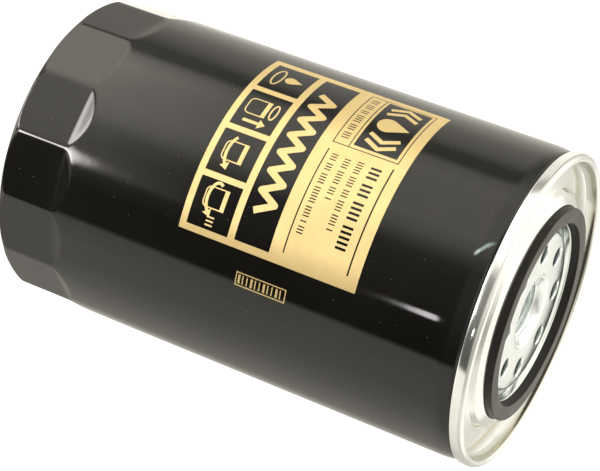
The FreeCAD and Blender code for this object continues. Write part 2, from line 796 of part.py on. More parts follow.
def check(pieces):
    """Stops the build if any object failed or any piece isn't one or more sound solids."""
    for item in document.Objects:
        if "Invalid" in item.State or "Error" in item.State:
            raise RuntimeError(f"{item.Label} failed: {item.State}")
        if item.TypeId == "Sketcher::SketchObject" and not item.FullyConstrained:
            raise RuntimeError(f"{item.Label} isn't fully constrained")
    for piece in pieces:
        shape = piece.Shape
        if shape.isNull() or not shape.isValid() or not shape.Solids or shape.Volume <= 0:
            raise RuntimeError(f"{piece.Label} has no sound solid")


def main():
    pieces = [
        make_can(),
        make_seaming_lid(),
        make_seam_compound(),
        make_tapping_plate(),
        make_mounting_gasket(),
        make_drainback_valve(),
        make_upper_end_cap(),
        make_lower_end_cap(),
        make_bond("upper_cap_adhesive", PAPER_TOP, BOND_TOP),
        make_bond("lower_cap_adhesive", BOND_FOOT, PAPER_FOOT),
        make_center_tube(),
        make_pleated_media(),
        make_media_seam_clip(),
        make_bypass_valve_seat(),
        make_bypass_seal(),
        make_bypass_poppet(),
        make_bypass_stem(),
        make_bypass_cage(),
        coil("bypass_spring", "bypass_coil_radius", "bypass_wire_radius",
             POPPET_TOP, f"{CAGE_TOP} + cage_wall", "bypass_turns"),
        make_spring_seat(),
        coil("element_spring", "element_coil_radius", "element_wire_radius",
             PANEL_TOP, RING_FOOT, "element_turns"),
    ]
    document.recompute()
    check(pieces)
    os.makedirs("parts", exist_ok=True)
    for piece in pieces:
        piece.Shape.exportStep(f"parts/{piece.Label}.step")
        box = piece.Shape.optimalBoundingBox()
        print(f"{piece.Label:20s} {len(piece.Shape.Solids)} solid, {piece.Shape.Volume:9.0f} mm3,"
              f" z {box.ZMin:8.2f} to {box.ZMax:8.2f}, radius {box.XMax:.2f}")


main()
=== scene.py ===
"""Looks of the spin-on oil filter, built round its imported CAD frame. Metres, Z up, threaded end up."""

import json
import math

import bmesh
import bpy
from mathutils import Matrix, Vector
from mathutils.geometry import delaunay_2d_cdt


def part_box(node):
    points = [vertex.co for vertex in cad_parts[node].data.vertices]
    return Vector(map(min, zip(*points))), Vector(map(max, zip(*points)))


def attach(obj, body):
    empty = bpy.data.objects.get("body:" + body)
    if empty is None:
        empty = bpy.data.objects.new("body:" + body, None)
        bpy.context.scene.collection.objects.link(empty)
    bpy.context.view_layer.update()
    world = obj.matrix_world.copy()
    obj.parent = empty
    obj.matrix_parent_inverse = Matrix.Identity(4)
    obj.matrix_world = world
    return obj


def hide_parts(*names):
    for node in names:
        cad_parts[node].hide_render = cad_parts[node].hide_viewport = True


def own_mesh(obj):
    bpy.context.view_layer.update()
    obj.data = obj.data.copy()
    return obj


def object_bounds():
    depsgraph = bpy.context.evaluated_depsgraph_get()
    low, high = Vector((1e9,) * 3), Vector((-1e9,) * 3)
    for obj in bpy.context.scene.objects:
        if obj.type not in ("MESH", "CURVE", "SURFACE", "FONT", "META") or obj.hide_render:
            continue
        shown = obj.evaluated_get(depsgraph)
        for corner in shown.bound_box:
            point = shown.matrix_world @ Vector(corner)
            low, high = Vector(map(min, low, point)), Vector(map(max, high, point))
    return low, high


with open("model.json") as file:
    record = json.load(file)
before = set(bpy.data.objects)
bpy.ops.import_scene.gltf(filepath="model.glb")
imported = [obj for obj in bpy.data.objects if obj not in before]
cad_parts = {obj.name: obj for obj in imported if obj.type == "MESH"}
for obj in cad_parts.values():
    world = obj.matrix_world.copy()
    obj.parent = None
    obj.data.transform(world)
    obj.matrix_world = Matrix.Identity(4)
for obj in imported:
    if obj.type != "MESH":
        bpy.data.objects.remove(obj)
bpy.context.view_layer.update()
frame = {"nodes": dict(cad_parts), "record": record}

MM = 0.001

# ---------------------------------------------------------------- sizes, in millimetres

# A drop is a depth below the gasket's sealing face, which is z = 0.
CAN_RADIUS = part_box("can")[1].x / MM
CAN_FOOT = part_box("can")[0].z / MM
CAN_WALL = 0.5
CAN_CORNER = 4.0
SHOULDER_ROUNDING = 25.0
NECK_RADIUS = 52.45
NECK_DROP = 7.3
NECK_LENGTH = 4.2
FOOT_INNER_RADIUS = 38.0
FOOT_HEIGHT = 1.6

FLAT_COUNT = 15
FLAT_DISTANCE = 51.9
FLAT_END_DROP = 151.6
FLAT_RUNOUT_LENGTH = 5.8
FLAT_RUNOUT_RISE = 1.5
FLAT_TURN = -2.3
FLAT_EDGE_SOFTNESS = 0.07
FLAT_CORNER_SOFTNESS = 3.5 * FLAT_EDGE_SOFTNESS
FLAT_CORNER_BLEND = 2.0
FLAT_RUNOUT_SOFTNESS = 0.8
FLAT_STEPS = 28
RUNOUT_STEPS = 8

LID_WALL = 0.5
SEAM_RADIUS = 53.25
SEAM_TOP_DROP = 1.9
SEAM_FOOT_DROP = 6.4
SEAM_GAP = 0.05
SEAM_BARREL = 0.12
HOOK_RADIUS = SEAM_RADIUS - 3 * LID_WALL - 2 * SEAM_GAP
CAN_HOOK_INNER = SEAM_RADIUS - 2 * LID_WALL - SEAM_GAP
CAN_HOOK_OUTER = SEAM_RADIUS - LID_WALL - 3 * SEAM_GAP
BODY_WALL_RADIUS = SEAM_RADIUS - 3 * LID_WALL - 4 * SEAM_GAP
CAN_HOOK_END = -SEAM_FOOT_DROP + LID_WALL + 6 * SEAM_GAP
CAN_HOOK_UNDERSIDE = -SEAM_TOP_DROP - 2 * LID_WALL - SEAM_GAP

HEM_LIP_WIDTH = 1.2
HEM_LIP_DROP = 2.6
HEM_FOOT_DROP = 4.7
GROOVE_TOP_DROP = 2.15
DOME_RADIUS = 39.7
DOME_DROP = 3.75
CHANNEL_INNER_RADIUS = 41.1
CHANNEL_INNER_DROP = 5.6
CHANNEL_OUTER_RADIUS = 49.8
CHANNEL_DROP = 6.4
SEAM_WALL_RADIUS = 50.5
LID_HOOK_END_DROP = 3.45

GASKET_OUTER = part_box("mounting_gasket")[1].x / MM
GASKET_INNER = 31.0
GASKET_DROP = -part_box("mounting_gasket")[0].z / MM
GASKET_EDGE = 0.25

PLATE_CENTRE_DROP = -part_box("tapping_plate")[1].z / MM
PLATE_THICKNESS = 3.0
PLATE_RADIUS = 39.5
PLATE_STEP = 2.8
PLATE_FACE_RADIUS = 26.6
PLATE_SLOPE_RADIUS = 28.9
PLATE_BEND = 1.0
NECK_OUTER_RADIUS = 12.2
NECK_END_DROP = -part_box("tapping_plate")[0].z / MM
THREAD_MOUTH_DEPTH = 2.2
THREAD_LEAD = 0.3
THREAD_ROWS = 96
THREAD_RADIUS = 8.75
THREAD_PITCH = 25.4 / 16
THREAD_DEPTH = 0.7
INLET_COUNT = 8
INLET_RADIUS = 3.0
INLET_CIRCLE = 20.5
INLET_TURN = 27.4
INLET_EDGE = 0.55
INLET_STEPS = 48
PRESSED_DEPTH = 0.02

HUB_INNER = 12.3
HUB_OUTER = 15.5
HUB_SHOULDER_RADIUS = 14.0
HUB_TOP = -6.0
HUB_FOOT = -14.0
FLAP_ROOT = HUB_OUTER - 0.05
FLAP_BEND = 30.7
FLAP_TIP = 34.0
FLAP_TOP = -8.8

WIRE_SIDES = 14
TURN_STEPS = 48
CLOSED_TURNS = 0.28

ROUND_STEPS = 360


# ---------------------------------------------------------------- outlines and turned meshes

def rounded(corners, arc_step):
    """Points along straight lines between the corners (r, z) or (r, z, rounding); arc_step is in degrees."""
    points = []
    count = len(corners)
    for index, corner in enumerate(corners):
        place = Vector(corner[:2])
        if len(corner) == 2:
            points.append(place)
            continue
        back = (Vector(corners[index - 1][:2]) - place).normalized()
        onward = (Vector(corners[(index + 1) % count][:2]) - place).normalized()
        half_angle = back.angle(onward) / 2
        centre = place + (back + onward).normalized() * (corner[2] / math.sin(half_angle))
        entry = place + back * (corner[2] / math.tan(half_angle))
        sweep = (entry - centre).angle_signed(place + onward * (corner[2] / math.tan(half_angle)) - centre)
        steps = max(2, math.ceil(abs(sweep) / math.radians(arc_step)))
        for step in range(steps + 1):
            turn = Matrix.Rotation(-sweep * step / steps, 2)
            points.append(centre + turn @ (entry - centre))
    return points


def sheet_section(path, thickness):
    """A closed outline of sheet metal: the path, and the path set off to its right by the thickness."""
    offset = []
    for index, point in enumerate(path):
        before = path[max(index - 1, 0)]
        after = path[min(index + 1, len(path) - 1)]
        into = (point - before if index else after - point).normalized()
        out = (after - point if index < len(path) - 1 else point - before).normalized()
        normal_in = Vector((into.y, -into.x))
        normal_out = Vector((out.y, -out.x))
        middle = (normal_in + normal_out).normalized()
        offset.append(point + middle * (thickness / max(middle.dot(normal_in), 0.3)))
    return path + offset[::-1]


def spaced(points, longest, closed=True):
    """The same outline with no edge longer than asked."""
    result = []
    count = len(points)
    for index, point in enumerate(points):
        result.append(point)
        if index == count - 1 and not closed:
            break
        following = points[(index + 1) % count]
        pieces = math.ceil((following - point).length / longest)
        for step in range(1, pieces):
            result.append(point.lerp(following, step / pieces))
    return result


def shade(mesh, sharp_angle):
    """Smooth shading with creases kept where faces meet at more than an angle in degrees."""
    made = bmesh.new()
    made.from_mesh(mesh)
    bmesh.ops.remove_doubles(made, verts=made.verts, dist=1e-7)
    bmesh.ops.recalc_face_normals(made, faces=made.faces)
    limit = math.radians(sharp_angle)
    for edge in made.edges:
        edge.smooth = edge.calc_face_angle(0) < limit if len(edge.link_faces) == 2 else True
    for face in made.faces:
        face.smooth = True
    made.to_mesh(mesh)
    made.free()


def new_object(name, vertices, faces, sharp_angle=35):
    mesh = bpy.data.meshes.new(name)
    mesh.from_pydata([tuple(c * MM for c in v) for v in vertices], [], faces)
    mesh.validate()
    shade(mesh, sharp_angle)
    thing = bpy.data.objects.new(name, mesh)
    bpy.context.scene.collection.objects.link(thing)
    return thing


def turned(name, outline, angles=None, shape=None, sharp_angle=35):
    """A closed outline of (radius, z) turned about Z; shape(radius, z, angle, index) may change a radius."""
    angles = angles or [2 * math.pi * step / ROUND_STEPS for step in range(ROUND_STEPS)]
    count = len(outline)
    vertices = []
    for angle in angles:
        for index, (radius, z) in enumerate(outline):
            r = shape(radius, z, angle, index) if shape else radius
            vertices.append((r * math.cos(angle), r * math.sin(angle), z))
    faces = []
    for column in range(len(angles)):
        following = (column + 1) % len(angles)
        for row in range(count):
            above = (row + 1) % count
            if outline[row][0] < 1e-6 and outline[above][0] < 1e-6:
                continue
            faces.append((column * count + row, following * count + row,
                          following * count + above, column * count + above))
    return new_object(name, vertices, faces, sharp_angle=sharp_angle)


# ---------------------------------------------------------------- materials

def new_material(name):
    material = bpy.data.materials.new(name)
    material.use_nodes = True
    tree = material.node_tree
    tree.nodes.clear()
    output = tree.nodes.new("ShaderNodeOutputMaterial")
    shader = tree.nodes.new("ShaderNodeBsdfPrincipled")
    tree.links.new(shader.outputs["BSDF"], output.inputs["Surface"])
    return material, tree, shader


def node(tree, kind, inputs=None, **settings):
    """A node with its settings and its inputs, where an input may be a socket or a value."""
    made = tree.nodes.new(kind)
    for key, value in settings.items():
        setattr(made, key, value)
    for key, value in (inputs or {}).items():
        if isinstance(value, bpy.types.NodeSocket):
            tree.links.new(value, made.inputs[key])
        else:
            made.inputs[key].default_value = value
    return made


def maths(tree, operation, *values):
    """The result of a math node, whose values may be sockets or numbers."""
    return node(tree, "ShaderNodeMath", dict(enumerate(values)), operation=operation).outputs[0]


def noise(tree, scale, detail=3, roughness=0.5, vector=None, distortion=0.0):
    """A noise value in object space; scale is in waves a metre."""
    where = vector or node(tree, "ShaderNodeTexCoord").outputs["Object"]
    made = node(tree, "ShaderNodeTexNoise", {"Vector": where, "Scale": scale, "Detail": detail,
                                              "Roughness": roughness, "Distortion": distortion})
    return made.outputs["Fac"]


def stretched(tree, factors):
    """Object coordinates scaled by three factors, for grain that runs one way."""
    where = node(tree, "ShaderNodeTexCoord").outputs["Object"]
    return node(tree, "ShaderNodeMapping", {"Vector": where, "Scale": factors}).outputs["Vector"]


def between(tree, value, low, high, out_low, out_high):
    """Maps a value from one range to another, clamped."""
    made = node(tree, "ShaderNodeMapRange", {"Value": value, "From Min": low, "From Max": high,
                                              "To Min": out_low, "To Max": out_high})
    return made.outputs["Result"]


def mixed(tree, factor, first, second):
    """A colour from the first, at factor 0, to the second; each may be a socket or (red, green, blue)."""
    first, second = (c if isinstance(c, bpy.types.NodeSocket) else (*c, 1.0) for c in (first, second))
    return node(tree, "ShaderNodeMix", {0: factor, 6: first, 7: second}, data_type="RGBA").outputs[2]


def bump(tree, shader, height, distance, strength=1.0, previous=None):
    """Raises the surface by a height map; distance is in millimetres."""
    inputs = {"Height": height, "Distance": distance * MM, "Strength": strength}
    if previous is not None:
        inputs["Normal"] = previous
    made = node(tree, "ShaderNodeBump", inputs)
    tree.links.new(made.outputs["Normal"], shader.inputs["Normal"])
    return made.outputs["Normal"]


def radial_place(tree):
    """The object-space point as (angle, radius, height), for patterns that follow the turned shape."""
    where = node(tree, "ShaderNodeTexCoord").outputs["Object"]
    parts = node(tree, "ShaderNodeSeparateXYZ", {"Vector": where})
    angle = maths(tree, "ARCTAN2", parts.outputs["Y"], parts.outputs["X"])
    flat = node(tree, "ShaderNodeVectorMath", {0: where, 1: (1, 1, 0)}, operation="MULTIPLY")
    radius = node(tree, "ShaderNodeVectorMath", {0: flat.outputs[0]}, operation="LENGTH")
    return angle, radius.outputs["Value"], parts.outputs["Z"]


def enamel_material():
    """Glossy black enamel: faint orange peel, dust specks and light handling marks."""
    material, tree, shader = new_material("black_enamel")
    shader.inputs["IOR"].default_value = 1.5
    dust = between(tree, noise(tree, 900, 2, 0.6), 0.735, 0.76, 0, 1)
    haze = between(tree, noise(tree, 28, 4, 0.6), 0.35, 0.75, 0, 1)
    tint = mixed(tree, haze, (0.0042, 0.0038, 0.0028), (0.0075, 0.0066, 0.005))
    tree.links.new(mixed(tree, dust, tint, (0.09, 0.085, 0.075)), shader.inputs["Base Color"])
    rough = between(tree, haze, 0, 1, 0.045, 0.085)
    tree.links.new(maths(tree, "MAXIMUM", rough, dust), shader.inputs["Roughness"])
    peel = noise(tree, 420, 2, 0.5)
    wave = noise(tree, 45, 1, 0.4)
    first = bump(tree, shader, wave, 0.05, 0.35)
    bump(tree, shader, peel, 0.004, 0.5, first)
    return material


def painted_shade_ring(tree, radius, height, inner, outer, top):
    """How much painted shade is on a point: a patchy ring between two radii, below a height."""
    edge = 0.15 * MM
    past = between(tree, radius, inner * MM - edge, inner * MM + edge, 0, 1)
    short = between(tree, radius, outer * MM - edge, outer * MM + edge, 1, 0)
    sunk = between(tree, height, top * MM - 3 * edge, top * MM, 1, 0)
    ring = maths(tree, "MULTIPLY", maths(tree, "MULTIPLY", past, short), sunk)
    return maths(tree, "MULTIPLY", ring, between(tree, noise(tree, 90, 3, 0.6), 0.3, 0.7, 0.7, 1))


def plated_material(name, tint, metallic, rough_low, rough_high, stain_and_shade=None):
    """Bright plating: fine turned rings, soft clouding and a few scuffs. Painted shade, if asked for, is a
    patchy darker ring given by its inner and outer radius, its top and its colour."""
    material, tree, shader = new_material(name)
    shader.inputs["Metallic"].default_value = metallic
    angle, radius, height = radial_place(tree)
    cloud = between(tree, noise(tree, 55, 4, 0.62), 0.32, 0.7, 0, 1)
    dull = tuple(channel * 0.86 for channel in tint)
    colour = mixed(tree, cloud, tint, dull)
    # painted shade: a darker olive-grey ring on the seam's inner wall, down in the channel
    if stain_and_shade:
        inner, outer, top, shade_colour = stain_and_shade
        colour = mixed(tree, painted_shade_ring(tree, radius, height, inner, outer, top), colour, shade_colour)
    tree.links.new(colour, shader.inputs["Base Color"])
    around = maths(tree, "MULTIPLY", angle, 0.02)
    ring_place = node(tree, "ShaderNodeCombineXYZ", {"X": around, "Y": radius, "Z": height})
    rings = noise(tree, 2600, 3, 0.7, ring_place.outputs[0])
    scuffs = between(tree, noise(tree, 240, 5, 0.75, stretched(tree, (1, 0.25, 1))), 0.62, 0.72, 0, 0.12)
    rough = between(tree, noise(tree, 90, 3, 0.6), 0.3, 0.7, rough_low, rough_high)
    tree.links.new(maths(tree, "ADD", rough, scuffs), shader.inputs["Roughness"])
    first = bump(tree, shader, rings, 0.003, 0.25)
    bump(tree, shader, noise(tree, 130, 2, 0.5), 0.02, 0.12, first)
    return material


def rubber_material(name, low, high, roughness, sheen=0.5):
    """Moulded rubber: fine grain, slight bloom and uneven oil."""
    material, tree, shader = new_material(name)
    shader.inputs["Specular IOR Level"].default_value = sheen
    bloom = between(tree, noise(tree, 120, 5, 0.65), 0.35, 0.7, 0, 1)
    tree.links.new(mixed(tree, bloom, low, high), shader.inputs["Base Color"])
    tree.links.new(between(tree, noise(tree, 60, 3, 0.5), 0.3, 0.7, roughness - 0.08, roughness + 0.08),
                   shader.inputs["Roughness"])
    first = bump(tree, shader, noise(tree, 1500, 3, 0.6), 0.012, 0.5)
    bump(tree, shader, noise(tree, 180, 3, 0.5), 0.05, 0.3, first)
    return material


def gold_ink_material():
    """Screen-printed gold ink: satin, with tiny pinholes and a slight unevenness of the film."""
    material, tree, shader = new_material("gold_ink")
    shader.inputs["Metallic"].default_value = 0.6
    shader.inputs["IOR"].default_value = 1.45
    film = between(tree, noise(tree, 160, 4, 0.6), 0.3, 0.7, 0, 1)
    pinholes = between(tree, noise(tree, 2600, 2, 0.5), 0.74, 0.8, 0, 0.75)
    gold = mixed(tree, film, (0.76, 0.585, 0.27), (0.69, 0.525, 0.24))
    tree.links.new(mixed(tree, pinholes, gold, (0.12, 0.1, 0.05)), shader.inputs["Base Color"])
    tree.links.new(between(tree, film, 0, 1, 0.36, 0.46), shader.inputs["Roughness"])
    bump(tree, shader, noise(tree, 2200, 2, 0.6), 0.004, 0.35)
    return material


def paper_material():
    """Resin-treated filter paper: fibres and slight mottling."""
    material, tree, shader = new_material("filter_paper")
    fibres = noise(tree, 1400, 6, 0.8, stretched(tree, (1, 1, 0.4)))
    mottle = between(tree, fibres, 0.3, 0.7, 0, 1)
    tree.links.new(mixed(tree, mottle, (0.72, 0.55, 0.26), (0.85, 0.7, 0.4)), shader.inputs["Base Color"])
    shader.inputs["Roughness"].default_value = 0.85
    bump(tree, shader, fibres, 0.05, 0.6)
    return material


def adhesive_material():
    """Cured plastisol: orange-brown, slightly glossy, with soft flow marks."""
    material, tree, shader = new_material("adhesive")
    flow = between(tree, noise(tree, 90, 4, 0.6, distortion=0.6), 0.3, 0.7, 0, 1)
    tree.links.new(mixed(tree, flow, (0.55, 0.16, 0.04), (0.68, 0.24, 0.08)), shader.inputs["Base Color"])
    tree.links.new(between(tree, flow, 0, 1, 0.35, 0.55), shader.inputs["Roughness"])
    bump(tree, shader, flow, 0.08, 0.4)
    return material


def wire_material():
    """Drawn spring wire: grey steel with lengthwise die lines and oil stains."""
    material, tree, shader = new_material("spring_wire")
    shader.inputs["Metallic"].default_value = 1.0
    stain_and_shade = between(tree, noise(tree, 200, 5, 0.7), 0.35, 0.7, 0, 1)
    tree.links.new(mixed(tree, stain_and_shade, (0.42, 0.41, 0.39), (0.24, 0.22, 0.2)), shader.inputs["Base Color"])
    tree.links.new(between(tree, stain_and_shade, 0, 1, 0.28, 0.5), shader.inputs["Roughness"])
    bump(tree, shader, noise(tree, 2500, 3, 0.6), 0.005, 0.4)
    return material


def finish_piece(thing, body, material, slot, *stands_for):
    """Gives a piece its material, ties it to its body and hides the CAD nodes it stands for; the slot is not
    used.
    """
    thing.data.materials.clear()
    thing.data.materials.append(material)
    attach(thing, body)
    if stands_for:
        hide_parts(*stands_for)


# ---------------------------------------------------------------- can

def can_outline():
    """The can's outer face from the middle of its foot up to the seam hook, and its inner face back down."""
    outer = spaced(rounded([
        (0.0, CAN_FOOT + FOOT_HEIGHT),
        (FOOT_INNER_RADIUS - FOOT_HEIGHT, CAN_FOOT + FOOT_HEIGHT, 1),
        (FOOT_INNER_RADIUS, CAN_FOOT, 1.5),
        (CAN_RADIUS, CAN_FOOT, CAN_CORNER),
        (CAN_RADIUS, -NECK_DROP - NECK_LENGTH, SHOULDER_ROUNDING),
        (NECK_RADIUS, -NECK_DROP, 0.6),
        (BODY_WALL_RADIUS, -SEAM_FOOT_DROP - 2 * SEAM_GAP),
        (BODY_WALL_RADIUS, CAN_HOOK_UNDERSIDE),
        (CAN_HOOK_INNER, CAN_HOOK_UNDERSIDE),
        (CAN_HOOK_INNER, CAN_HOOK_END),
        (CAN_HOOK_OUTER, CAN_HOOK_END),
        (CAN_HOOK_OUTER, CAN_HOOK_UNDERSIDE + CAN_WALL, 0.4),
        (BODY_WALL_RADIUS - CAN_WALL, CAN_HOOK_UNDERSIDE + CAN_WALL),
    ], arc_step=6), 3.5, closed=False)
    inner = spaced(rounded([
        (BODY_WALL_RADIUS - CAN_WALL, -SEAM_FOOT_DROP - 2 * SEAM_GAP),
        (NECK_RADIUS - CAN_WALL, -NECK_DROP, 0.6),
        (CAN_RADIUS - CAN_WALL, -NECK_DROP - NECK_LENGTH, SHOULDER_ROUNDING),
        (CAN_RADIUS - CAN_WALL, CAN_FOOT + CAN_WALL, CAN_CORNER - CAN_WALL),
        (FOOT_INNER_RADIUS + CAN_WALL / 2, CAN_FOOT + CAN_WALL, 1),
        (FOOT_INNER_RADIUS - FOOT_HEIGHT, CAN_FOOT + FOOT_HEIGHT + CAN_WALL, 1.5),
        (0.0, CAN_FOOT + FOOT_HEIGHT + CAN_WALL),
    ], arc_step=9), 4.0, closed=False)
    return outer, inner


def flats_plane(z):
    """How far the flats' plane is from the axis at this height; it runs out above the flats."""
    above = z + FLAT_END_DROP
    slope = FLAT_RUNOUT_RISE / FLAT_RUNOUT_LENGTH
    softened = 0.5 * (above + math.sqrt(above * above + FLAT_RUNOUT_SOFTNESS))
    return FLAT_DISTANCE + slope * softened


def soft_least(a, b, softness):
    """The lesser of two numbers, with a soft change from one to the other."""
    least = 0.5 * (a + b - math.sqrt((a - b) ** 2 + softness ** 2))
    return least + 0.25 * softness * math.exp(-abs(a - b) / softness)


def finer_at_runouts(outline):
    """The same outline with closer points on the wall where the flats run out."""
    low = -FLAT_END_DROP - 3
    high = -FLAT_END_DROP + 9
    shortest = 1.0
    fine = []
    for (radius, z), (_, following) in zip(outline, outline[1:]):
        near = low < min(z, following) and max(z, following) < high
        steps = RUNOUT_STEPS if near and abs(following - z) > shortest else 1
        fine += [(radius, z + (following - z) * step / steps) for step in range(steps)]
    return fine + [tuple(outline[-1])]


def make_can(material):
    outer, inner = (finer_at_runouts(outline) for outline in can_outline())
    pitch = 2 * math.pi / FLAT_COUNT
    first_flat = math.radians(FLAT_TURN)
    bend_end = FOOT_INNER_RADIUS + 6

    def flatted(radius, z, angle, index):
        if z > -FLAT_END_DROP + 2 * FLAT_RUNOUT_LENGTH or radius < bend_end:
            return radius
        from_flat = (angle - first_flat + pitch / 2) % pitch - pitch / 2
        inset = 0 if index < len(outer) else CAN_WALL
        plane = (flats_plane(z) - inset) / math.cos(from_flat)
        into_runout = min(max((z + FLAT_END_DROP) / FLAT_CORNER_BLEND + 0.5, 0), 1)
        softness = FLAT_EDGE_SOFTNESS + (FLAT_CORNER_SOFTNESS - FLAT_EDGE_SOFTNESS) * into_runout
        return soft_least(radius, plane, softness)

    angles = [first_flat + pitch * step / FLAT_STEPS for step in range(FLAT_COUNT * FLAT_STEPS)]
    shell = turned("can_shell", outer + inner, angles, flatted, 50)
    finish_piece(shell, "canister", material, "can_paint", "can")


# ---------------------------------------------------------------- lid, plate, gasket, valve

def make_lid(material):
    """The lid from the hem inside the gasket, over the groove, dome and channel, to the hook in the seam."""
    hem_outer = GASKET_INNER - SEAM_GAP
    path = spaced(rounded([
        (hem_outer - HEM_LIP_WIDTH, -HEM_FOOT_DROP),
        (hem_outer - HEM_LIP_WIDTH, -HEM_LIP_DROP, 0.55),
        (hem_outer, -HEM_LIP_DROP, 0.55),
        (hem_outer, -GASKET_DROP, 0.15),
        (GASKET_OUTER + SEAM_GAP, -GASKET_DROP, 0.15),
        (GASKET_OUTER + SEAM_GAP, -GROOVE_TOP_DROP, 0.5),
        (DOME_RADIUS, -DOME_DROP, 1.4),
        (CHANNEL_INNER_RADIUS, -CHANNEL_INNER_DROP, 0.5),
        (CHANNEL_OUTER_RADIUS, -CHANNEL_DROP, 0.6),
        (SEAM_WALL_RADIUS, -SEAM_TOP_DROP, 1.1),
        (SEAM_RADIUS - SEAM_BARREL, -SEAM_TOP_DROP, 1.5),
        (SEAM_RADIUS + SEAM_BARREL / 5, -(SEAM_TOP_DROP + SEAM_FOOT_DROP) / 2, 10),
        (SEAM_RADIUS - SEAM_BARREL, -SEAM_FOOT_DROP, 0.6),
        (HOOK_RADIUS, -SEAM_FOOT_DROP, 0.7),
        (HOOK_RADIUS, -LID_HOOK_END_DROP),
    ], arc_step=10), 2.0, closed=False)
    lid = turned("lid", sheet_section(path, LID_WALL), sharp_angle=60)
    finish_piece(lid, "canister", material, "plated_steel", "seaming_lid")


def make_gasket(material):
    outline = spaced(rounded([
        (GASKET_INNER, -GASKET_DROP, GASKET_EDGE),
        (GASKET_OUTER, -GASKET_DROP, GASKET_EDGE),
        (GASKET_OUTER, 0.0, GASKET_EDGE),
        (GASKET_INNER, 0.0, GASKET_EDGE),
    ], arc_step=15), 1.0)
    ring = turned("sealing_ring", outline, sharp_angle=50)
    finish_piece(ring, "canister", material, "gasket_rubber", "mounting_gasket")


def threaded(radius, z, angle, start, end):
    """The bore's thread: a triangular ridge that winds up the neck, running out at both ends."""
    root_flat, crest_flat = 0.12, 0.12
    start_runout, end_runout = 0.5, 0.8
    turn = z / THREAD_PITCH - angle / (2 * math.pi)
    wave = abs(2 * (turn - math.floor(turn)) - 1)
    crest = min(1.0, max(0.0, (wave - root_flat) / (1 - root_flat - crest_flat)))
    fade = min(1.0, max(0.0, (z - start) / start_runout), max(0.0, (end - z) / end_runout))
    return radius - THREAD_DEPTH * crest * fade


def inlet_cutter(top):
    """The shape that an inlet hole takes out of the plate: a cylinder that flares into a rolled edge."""
    reach = 2.0
    clear = 1.5
    flare = 1.6
    return turned("cutter", rounded([
        (0.0, top - PLATE_THICKNESS - reach),
        (INLET_RADIUS, top - PLATE_THICKNESS - reach),
        (INLET_RADIUS, top - PRESSED_DEPTH, INLET_EDGE),
        (INLET_RADIUS + flare, top - PRESSED_DEPTH),
        (INLET_RADIUS + flare, top + clear),
        (0.0, top + clear),
    ], arc_step=15), [2 * math.pi * step / INLET_STEPS for step in range(INLET_STEPS)])


def make_plate(material):
    """The plate with its stepped edge, its thread behind a pressed rib, and its punched inlet holes."""
    root_radius = THREAD_RADIUS + THREAD_DEPTH
    top = -PLATE_CENTRE_DROP
    bottom = top - PLATE_THICKNESS
    bore_start = -NECK_END_DROP + THREAD_LEAD
    bore_end = top - THREAD_MOUTH_DEPTH
    outline = spaced(rounded([
        (root_radius, bore_end),
        (10.3, top - 1.3, 0.5),
        (11.4, top - 0.35, 0.3),
        (12.5, top - 0.25, 0.2),
        (12.9, top - PRESSED_DEPTH, 0.15),
        (13.4, top - PRESSED_DEPTH),
        (PLATE_FACE_RADIUS, top, 2.0),
        (PLATE_SLOPE_RADIUS, top - PLATE_STEP, 0.5),
        (PLATE_RADIUS, top - PLATE_STEP),
        (PLATE_RADIUS, bottom - PLATE_STEP),
        (PLATE_SLOPE_RADIUS - PLATE_BEND, bottom - PLATE_STEP, 1.5),
        (PLATE_FACE_RADIUS - PLATE_BEND, bottom, 0.5),
        (NECK_OUTER_RADIUS, bottom, 1.5),
        (NECK_OUTER_RADIUS, -NECK_END_DROP, 0.3),
        (root_radius, -NECK_END_DROP, 0.2),
    ], arc_step=12), 2.5)
    row_height = (bore_end - bore_start) / THREAD_ROWS
    rows = [(root_radius, bore_start + row_height * row) for row in range(1, THREAD_ROWS)]
    near = 1e-4
    outline = [point for point in outline
               if abs(point.x - root_radius) > near or not bore_start < point.y < bore_end - near]

    def bore(radius, z, angle, index):
        return threaded(radius, z, angle, bore_start, bore_end) if index < len(rows) else radius

    plate = turned("inlet_plate", rows + outline, shape=bore, sharp_angle=40)
    for hole in range(INLET_COUNT):
        cutter = inlet_cutter(top)
        turn = math.radians(INLET_TURN + 360 / INLET_COUNT * hole)
        cutter.location = (INLET_CIRCLE * MM * math.cos(turn), INLET_CIRCLE * MM * math.sin(turn), 0)
        cut = plate.modifiers.new("hole", "BOOLEAN")
        cut.operation = "DIFFERENCE"
        cut.object = cutter
        cut.solver = "EXACT"
        bpy.context.view_layer.update()
        evaluated = plate.evaluated_get(bpy.context.evaluated_depsgraph_get())
        mesh = bpy.data.meshes.new_from_object(evaluated)
        plate.modifiers.clear()
        plate.data = mesh
        bpy.data.objects.remove(cutter)
    shade(plate.data, 40)
    finish_piece(plate, "canister", material, "plated_steel", "tapping_plate")


def make_valve(material):
    """The drain-back valve in two pieces: the hub that stays put and the flap on the diaphragm's own body."""
    hub = spaced(rounded([
        (HUB_INNER, HUB_FOOT, 0.3),
        (HUB_OUTER, HUB_FOOT, 0.3),
        (HUB_OUTER, HUB_TOP, 0.2),
        (HUB_SHOULDER_RADIUS, HUB_TOP, 0.2),
        (HUB_INNER, HUB_TOP - HUB_SHOULDER_RADIUS + HUB_INNER, 0.3),
    ], arc_step=20), 1.0)
    flap = spaced(rounded([
        (FLAP_ROOT, -12.5),
        (FLAP_BEND, -11.5, 2),
        (FLAP_TIP, -10.1, 0.5),
        (FLAP_TIP - 0.8, FLAP_TOP, 0.3),
        (FLAP_TIP - 1.8, FLAP_TOP, 0.3),
        (FLAP_BEND, -10.0, 1),
        (FLAP_ROOT, -11.0),
    ], arc_step=20), 1.0)
    finish_piece(turned("valve_hub", hub), "canister", material, "valve_rubber")
    bent = turned("valve_flap", flap)
    finish_piece(bent, "drainback_diaphragm", material, "valve_rubber", "drainback_valve")
    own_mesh(bent)


